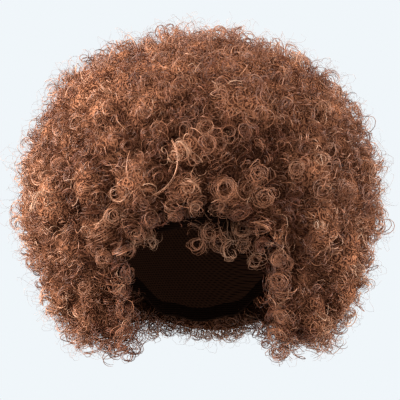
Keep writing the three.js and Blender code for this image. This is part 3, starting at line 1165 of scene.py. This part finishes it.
# %% [markdown]
# A ringlet is drawn with two sorts of thread: ribbons, which are several fibres stuck together, and
# single strands. Strands alone would need many more faces for the same cover. A ribbon catches more
# light, and this is painted in: it is a shade lighter than the strands beside it. Sizes are in millimetres.

# %% Sorts of thread
WAVES = (0.8, 1.9)
THREADS = {
    "ribbon": {
        "count": 2, "steps": 14, "half_wide": 0.45, "half_thick": 0.36,
        "spread": 0.8, "frizz": 0.25, "roots": 2, "waves": WAVES, "painted_light_shift": 0.12,
    },
    "strand": {
        "count": 5, "steps": 11, "half_wide": 0.22, "half_thick": 0.22,
        "spread": 1.2, "frizz": 0.38, "roots": 4, "waves": WAVES, "painted_light_shift": -0.04,
    },
    "mat": {
        "count": 1, "steps": 8, "half_wide": 0.36, "half_thick": 0.3,
        "spread": 0.0, "frizz": 0.6, "roots": 0, "waves": WAVES, "painted_light_shift": 0.0,
    },
    "stray": {
        "count": 1, "steps": 6, "half_wide": 0.07, "half_thick": 0.07,
        "spread": 0.0, "frizz": 0.6, "roots": 0, "waves": WAVES, "painted_light_shift": 0.0,
    },
}
print("threads in a ringlet:", THREADS["ribbon"]["count"] + THREADS["strand"]["count"])

# %% [markdown]
# Each thread follows its ringlet's helix, starts at its root deep in the hair, opens out from there and
# wavers a little in two waves. No two are alike, because chance changes the radius, the turns and the
# place of each.

# %% Paths of threads along a helix
CHANCE = {"radius": 0.07, "turns": 0.06, "phase": 0.3, "drift": 0.15, "tone": 0.1}
START = {"share": 0.45, "until": 0.25}
TIP_TIGHTER = 0.15
ROOT_POWER = 2.5
MAP_WIDTH = 0.08
ANY_OTHER_WAY = [0.1, 0.2, 0.3]


def thread_paths(curls, thread):
    """Centre lines of all threads of one sort, the axis that each winds round, and its tone."""
    curl_count = len(curls["radius"])
    of = np.repeat(np.arange(curl_count), thread["count"])
    count = len(of)
    t = np.linspace(0.0, 1.0, thread["steps"] + 1)[None, :]
    rank = np.tile(np.arange(thread["count"]), curl_count)
    rank = (rank + rng.random(count)) / thread["count"]
    radius = curls["radius"][of] * (1.0 - curls["nest"][of] * rank)
    radius = radius * rng.normal(1.0, CHANCE["radius"], count)
    turns = curls["turns"][of] * rng.normal(1.0, CHANCE["turns"], count)
    phase = curls["phase"][of] + rng.normal(0.0, CHANCE["phase"], count)
    angle = phase[:, None] + curls["hand"][of, None] * 2 * math.pi * turns[:, None] * t
    opening = START["share"] + (1.0 - START["share"]) * smoothstep(t / START["until"])
    swell = radius[:, None] * opening * (1.0 - TIP_TIGHTER * t)
    along = curls["length"][of, None] * (t - 0.5)
    along = along + ((rank - 0.5) * curls["spread"][of] * thread["spread"])[:, None]
    axis = curls["axis"][of]
    first = unit(np.cross(axis, np.roll(axis, 1, axis=1) + ANY_OTHER_WAY))
    second = np.cross(axis, first)
    drift = rng.normal(0.0, CHANCE["drift"], (count, 3)) * radius[:, None]
    path = (curls["middle"][of] + drift)[:, None, :] + axis[:, None, :] * along[..., None]
    path = path + first[:, None, :] * (swell * np.cos(angle))[..., None]
    path = path + second[:, None, :] * (swell * np.sin(angle))[..., None]
    root = curls["root"][of] + rng.normal(0.0, 1.0, (count, 3)) * thread["roots"] * MM
    path = path + root[:, None, :] * ((1.0 - t) ** ROOT_POWER)[..., None]
    for often in thread["waves"]:
        reach = (thread["frizz"] * curls["frizz"][of] * MM)[:, None, None]
        way = rng.normal(0.0, 1.0, (count, 1, 3)) * reach
        path = path + way * np.sin(2 * math.pi * (often * t + rng.random((count, 1))))[..., None]
    # Ribbons are painted lighter than strands: painted light for the light they catch.
    tone = curls["tone"][of] + thread["painted_light_shift"] + rng.normal(0.0, CHANCE["tone"], count)
    return path, axis, np.clip(tone, 0.0, 1.0 - MAP_WIDTH)


print("a thread's radius strays by a share of", CHANCE["radius"])

# %% [markdown]
# A path becomes a tube with three sides, the fewest that close. On a ribbon the tube is flattened, with
# its broad side on the ringlet's own cylinder, as a curled ribbon of hair lies. It tapers to its tip, and
# its ends are closed with a triangle each. A curve with a bevel would do the same, but arrays make
# thousands at once.

# %% Tubes from paths
SIDES = 3
TIP_THINNER = 0.65
TAPERS_FROM = 0.6
END_INSET = 0.02


def tube_arrays(path, axis, tone, thread):
    """Corners, faces with four sides, end faces, and the hair map of both, for many tubes at once."""
    count, rings = path.shape[:2]
    t = np.linspace(0.0, 1.0, rings)
    along = unit(np.gradient(path, axis=1))
    across = unit(np.cross(along, axis[:, None, :]))
    over = np.cross(across, along)
    turn = 2 * math.pi * np.arange(SIDES)[:, None] / SIDES
    circle = across[:, :, None, :] * np.cos(turn) * thread["half_thick"] * MM
    circle = circle + over[:, :, None, :] * np.sin(turn) * thread["half_wide"] * MM
    taper = 1.0 - TIP_THINNER * smoothstep((t - TAPERS_FROM) / (1.0 - TAPERS_FROM))
    corners = path[:, :, None, :] + circle * taper[:, None, None]

    start = np.arange(count)[:, None, None] * rings * SIDES
    ring = np.arange(rings - 1)[None, :, None] * SIDES
    side = np.arange(SIDES)[None, None, :]
    here, beside = start + ring + side, start + ring + (side + 1) % SIDES
    quads = np.stack([here, here + SIDES, beside + SIDES, beside], axis=-1)
    foot = start[:, 0] + np.arange(SIDES)
    tip = start[:, 0] + (rings - 1) * SIDES + np.arange(SIDES)[::-1]

    u = tone[:, None, None, None] + MAP_WIDTH * (side[..., None] + np.array([0, 0, 1, 1])) / SIDES
    v = t[:-1][None, :, None, None] + np.array([0, 1, 1, 0]) / (rings - 1)
    quad_map = np.stack(np.broadcast_arrays(u, v), axis=-1)
    end_u = tone[:, None] + MAP_WIDTH * np.array([0.0, 0.5, 1.0])
    foot_v = np.broadcast_to([0.0, END_INSET, 0.0], end_u.shape)
    end_map = np.concatenate([np.stack([end_u, foot_v], axis=-1), np.stack([end_u, 1.0 - foot_v], axis=-1)])
    return {
        "corners": corners.reshape(-1, 3), "quads": quads.reshape(-1, 4),
        "ends": np.concatenate([foot, tip]),
        "quad_map": quad_map.reshape(-1, 2), "end_map": end_map.reshape(-1, 2),
    }


print("triangles in one strand:", 2 * SIDES * THREADS["strand"]["steps"] + 2)

# %% [markdown]
# All tubes of one row go into one mesh. Adding them one by one with operators would take minutes, so the
# mesh is filled from arrays: its corners, its faces, and the map that the fibre finish reads.

# %% A mesh from tubes
def joined(tubes, key):
    """The faces of all tubes, renumbered for the corners that come before them."""
    before = np.cumsum([0] + [len(part["corners"]) for part in tubes])
    return np.concatenate([part[key] + offset for part, offset in zip(tubes, before)])


def hair_piece(name, tubes):
    """One mesh of many tubes, filled from arrays."""
    corners = np.concatenate([part["corners"] for part in tubes])
    quads, ends = joined(tubes, "quads"), joined(tubes, "ends")
    fibre_map = np.concatenate([part[key] for key in ("quad_map", "end_map") for part in tubes])
    mesh = bpy.data.meshes.new(name)
    mesh.vertices.add(len(corners))
    mesh.vertices.foreach_set("co", corners.ravel().astype(np.float32))
    mesh.loops.add(quads.size + ends.size)
    corner_of = np.concatenate([quads.ravel(), ends.ravel()])
    mesh.loops.foreach_set("vertex_index", corner_of.astype(np.int32))
    starts = np.concatenate([4 * np.arange(len(quads)), quads.size + SIDES * np.arange(len(ends))])
    mesh.polygons.add(len(starts))
    mesh.polygons.foreach_set("loop_start", starts.astype(np.int32))
    mesh.uv_layers.new(name=HAIR_MAP).data.foreach_set("uv", fibre_map.ravel().astype(np.float32))
    mesh.polygons.foreach_set("use_smooth", np.ones(len(starts), bool))
    mesh.update(calc_edges=True)
    piece = bpy.data.objects.new(name, mesh)
    bpy.context.collection.objects.link(piece)
    print(name, "triangles", 2 * len(quads) + len(ends))
    return piece


# %% [markdown]
# A few locks have come out of their curl and lie over the front as long arcs. Each is a small bundle
# along part of a circle, given by the circle's middle and radius and the angles where the lock starts and
# ends. It follows the outside of the hair and dips into it at both ends.

# %% Long loose locks
LONG_LOCKS = table(
    "across height radius from to",
    (-22, -28, 34, 160, 208),
    (-45, -24, 28, 34, -70),
    (-12, -52, 13, 80, 10),
)
LONG_LOCK = {
    "count": 3, "steps": 14, "half_wide": 0.26, "half_thick": 0.22,
    "apart": 0.45, "dip": 9.0, "dip_power": 4, "tone": 0.5, "tones": 0.06,
}


def long_lock_tubes(top, bottom):
    """The bundles of the long locks whose middles lie between two heights in millimetres."""
    tubes = []
    count = LONG_LOCK["count"]
    t = np.linspace(0.0, 1.0, LONG_LOCK["steps"] + 1)
    for lock in LONG_LOCKS:
        if not bottom < lock["height"] <= top:
            continue
        angle = np.radians(lock["from"] + (lock["to"] - lock["from"]) * t)
        x = (lock["across"] + lock["radius"] * np.cos(angle)) * MM
        z = (lock["height"] + lock["radius"] * np.sin(angle)) * MM
        size = section(share_at(z))
        y = -size[:, 1] * np.sqrt(1.0 - (x / size[:, 0]) ** 2)
        y = y - CLUMP_RISE + LONG_LOCK["dip"] * MM * (2.0 * t - 1.0) ** LONG_LOCK["dip_power"]
        middle = np.stack([x, y, z], axis=1)[None, :, :]
        apart = rng.normal(0.0, LONG_LOCK["apart"] * MM, (count, 1, 3))
        tone = LONG_LOCK["tone"] + rng.normal(0.0, LONG_LOCK["tones"], count)
        tubes.append(tube_arrays(middle + apart, np.tile(TOWARDS_FRONT, (count, 1)), tone, LONG_LOCK))
    return tubes


print("long locks:", len(LONG_LOCKS))

# %% [markdown]
# Now every row gets its hair. The ringlets are sorted into rows by height, as they are sewn on the real
# thing, and each source of curls is drawn with its own threads: the clear rings with single strands only,
# so that they look soft, and the loops at the outline with ribbons only.

# %% Ringlets for every row
SOURCES = [
    (outer_curls, ("ribbon", "strand")),
    (clear_curls, ("strand", "strand")),
    (loop_curls, ("ribbon",)),
    (rim_curls, ("ribbon", "strand")),
    (nape_curls, ("ribbon", "strand")),
    (mat, ("mat",)),
    (stray, ("stray",)),
]


def between(curls, top, bottom):
    """The ringlets whose places lie between two heights."""
    height = curls["place"][:, 2]
    inside = (height <= top) & (height > bottom)
    return {key: value[inside] for key, value in curls.items()}


for row in ROWS:
    tubes = []
    for curls, threads in SOURCES:
        here = between(curls, row["top"] * MM, row["bottom"] * MM)
        if len(here["radius"]):
            tubes += [tube_arrays(*thread_paths(here, THREADS[name]), THREADS[name]) for name in threads]
    tubes += long_lock_tubes(row["top"], row["bottom"])
    piece = hair_piece(row["node"] + "_ringlets", tubes)
    dress(piece, hair_finish, "hair", row["node"])

# %% [markdown]
# ## The fringe
#
# A few short, loose curls hang into the top of the face opening, with a bare gap on one side. Chance
# would fill the gap, so they are listed: how far across and how high the middle of each ring is, and its
# radius. Their roots run up to the front edge of the hair.

# %% Places of the fringe curls
FRINGE = table(
    "across height radius turns",
    (-43, -79, 7.8, 2.2),
    (-50, -85, 5.0, 1.8),
    (-38, -88, 5.0, 1.6),
    (-2, -91, 8.2, 1.9),
    (7, -82, 6.0, 1.7),
    (15, -89, 7.0, 2.0),
    (23, -97, 6.0, 1.6),
    (32, -78, 7.8, 2.2),
    (34, -89, 5.6, 2.0),
    (43, -103, 5.8, 1.8),
)
FRINGE_FORWARD = 99 * MM
FRINGE_ROOT = {"wider": 1.05, "behind": 6 * MM, "above": 2 * MM, "reach": 0.8}
FRINGE_CURL = {"length": 5 * MM, "nest": 0.35, "spread": 3 * MM, "frizz": 1.0}
FRINGE_STRAY = 0.3
FRINGE_TONES = (0.4, 0.65)


def fringe_rings():
    across, height, radius = [column(FRINGE, key) * MM for key in ("across", "height", "radius")]
    count = len(FRINGE)
    forward = FRINGE_FORWARD * np.cos(across / FACE["half_width"] / 2)
    middle = np.stack([across, -forward, height], axis=1)
    rise = (FACE["hairline"] - FACE["widest_at"]) * np.sqrt(1 - (across / FACE["half_width"]) ** 2)
    edge_z = FACE["widest_at"] + rise + FRINGE_ROOT["above"]
    edge = np.stack([across * FRINGE_ROOT["wider"], -forward + FRINGE_ROOT["behind"], edge_z], axis=1)
    return {
        "middle": middle, "root": (edge - middle) * FRINGE_ROOT["reach"], "radius": radius,
        "turns": column(FRINGE, "turns"),
        "axis": unit(TOWARDS_FRONT + rng.normal(0, FRINGE_STRAY, (count, 3))),
        "hand": np.where(across < 0, -1.0, 1.0), "phase": rng.uniform(0, 2 * math.pi, count),
        "tone": rng.uniform(*FRINGE_TONES, count),
        **{key: np.full(count, value) for key, value in FRINGE_CURL.items()},
    }


fringe_set = fringe_rings()
print("fringe curls:", len(FRINGE))

# %% [markdown]
# The threads of the fringe are finer and frizzier than those of the ringlets, with more steps, because
# its curls are seen one by one. They are made with the same helpers, with a table of their own.

# %% Fringe
FRINGE_WAVES = (1.4, 4.1)
FRINGE_THREADS = [
    {
        "count": 1, "steps": 26, "half_wide": 0.3, "half_thick": 0.28,
        "spread": 1.0, "frizz": 0.5, "roots": 5, "waves": FRINGE_WAVES, "painted_light_shift": 0.0,
    },
    {
        "count": 7, "steps": 24, "half_wide": 0.17, "half_thick": 0.17,
        "spread": 1.4, "frizz": 0.75, "roots": 6, "waves": FRINGE_WAVES, "painted_light_shift": 0.0,
    },
]

fringe = hair_piece("fringe_curls_ringlets", [
    tube_arrays(*thread_paths(fringe_set, thread), thread) for thread in FRINGE_THREADS
])
dress(fringe, hair_finish, "hair", "fringe_curls")

# %% [markdown]
# ## Studio
#
# The floor is far below and pale, so that it closes the picture in views from above. It glows by itself
# and is hidden from diffuse rays, because its glow would brighten the underside of the hair.

# %% Floor
FLOOR = {"radius": 3.0, "height": -0.6, "corners": 96, "glow": 0.85}

on_its_own()
bpy.ops.mesh.primitive_circle_add(
    vertices=FLOOR["corners"], radius=FLOOR["radius"], fill_type="NGON", location=(0, 0, FLOOR["height"]),
)
floor = bpy.context.object
floor.name = "studio_floor"
bpy.ops.object.transform_apply()
floor_finish, _, floor_shader = new_finish("pale_floor", roughness=0.9)
floor_shader.inputs["Base Color"].default_value = srgb(70, 71, 72)
floor_shader.inputs["Emission Color"].default_value = srgb(236, 240, 243)
floor_shader.inputs["Emission Strength"].default_value = FLOOR["glow"]
floor.data.materials.append(floor_finish)
floor.visible_diffuse = False
print("floor at", FLOOR["height"])

# %% [markdown]
# The room around is a pale, even sky. Seen by the camera it is bright, but as a light it is weaker, so
# that the lamps still shape the hair. A Light Path node tells the two apart.

# %% Room
ROOM = {"seen": 1.0, "as_light": 0.62}

world = bpy.data.worlds.new("studio")
world.use_nodes = True
sky = world.node_tree.nodes["Background"]
sky.inputs["Color"].default_value = srgb(240, 246, 250)
seen = add(world.node_tree, "LightPath")
strength = add(world.node_tree, "MapRange", {"To Min": ROOM["as_light"], "To Max": ROOM["seen"]})
world.node_tree.links.new(seen.outputs["Is Camera Ray"], strength.inputs["Value"])
world.node_tree.links.new(strength.outputs["Result"], sky.inputs["Strength"])
bpy.context.scene.world = world
print("room", world.name, ROOM)

# %% [markdown]
# Large, soft lamps stand at both sides, the left one stronger, and a weak one behind and above. Little
# light comes from the front, so that the clumps keep their dark creases.

# %% Lamps
DAYLIGHT = (0.95, 0.99, 1.0)
LIGHTS = [
    {"name": "top", "place": (0.0, 0.9, 1.15), "size": 1.5, "watts": 26},
    {"name": "left", "place": (-1.4, -0.2, 0.55), "size": 1.4, "watts": 188},
    {"name": "right", "place": (1.4, -0.15, 0.2), "size": 1.4, "watts": 92},
]


def aim(thing, target):
    way = Vector(target) - thing.location
    thing.rotation_euler = way.to_track_quat("-Z", "Y").to_euler()


for light in LIGHTS:
    on_its_own()
    bpy.ops.object.light_add(type="AREA", location=light["place"])
    lamp = bpy.context.object
    lamp.name = "light_" + light["name"]
    lamp.data.energy = light["watts"]
    lamp.data.size = light["size"]
    lamp.data.color = DAYLIGHT
    aim(lamp, HAIR_MIDDLE)
    print(lamp.name, light["watts"], "watts")

# %% [markdown]
# The camera looks straight at the middle of the hair from the front, with a long lens, as one photographs
# a wig.

# %% Camera
CAMERA = {"away": 1.4, "sensor": 36.0, "lens": 150.0}

on_its_own()
bpy.ops.object.camera_add(location=(0.0, -CAMERA["away"], HAIR_MIDDLE[2]))
camera = bpy.context.object
camera.data.sensor_width = CAMERA["sensor"]
camera.data.lens = CAMERA["lens"]
aim(camera, HAIR_MIDDLE)
bpy.context.scene.camera = camera
bpy.context.scene.view_settings.view_transform = "Standard"
print("camera", CAMERA)
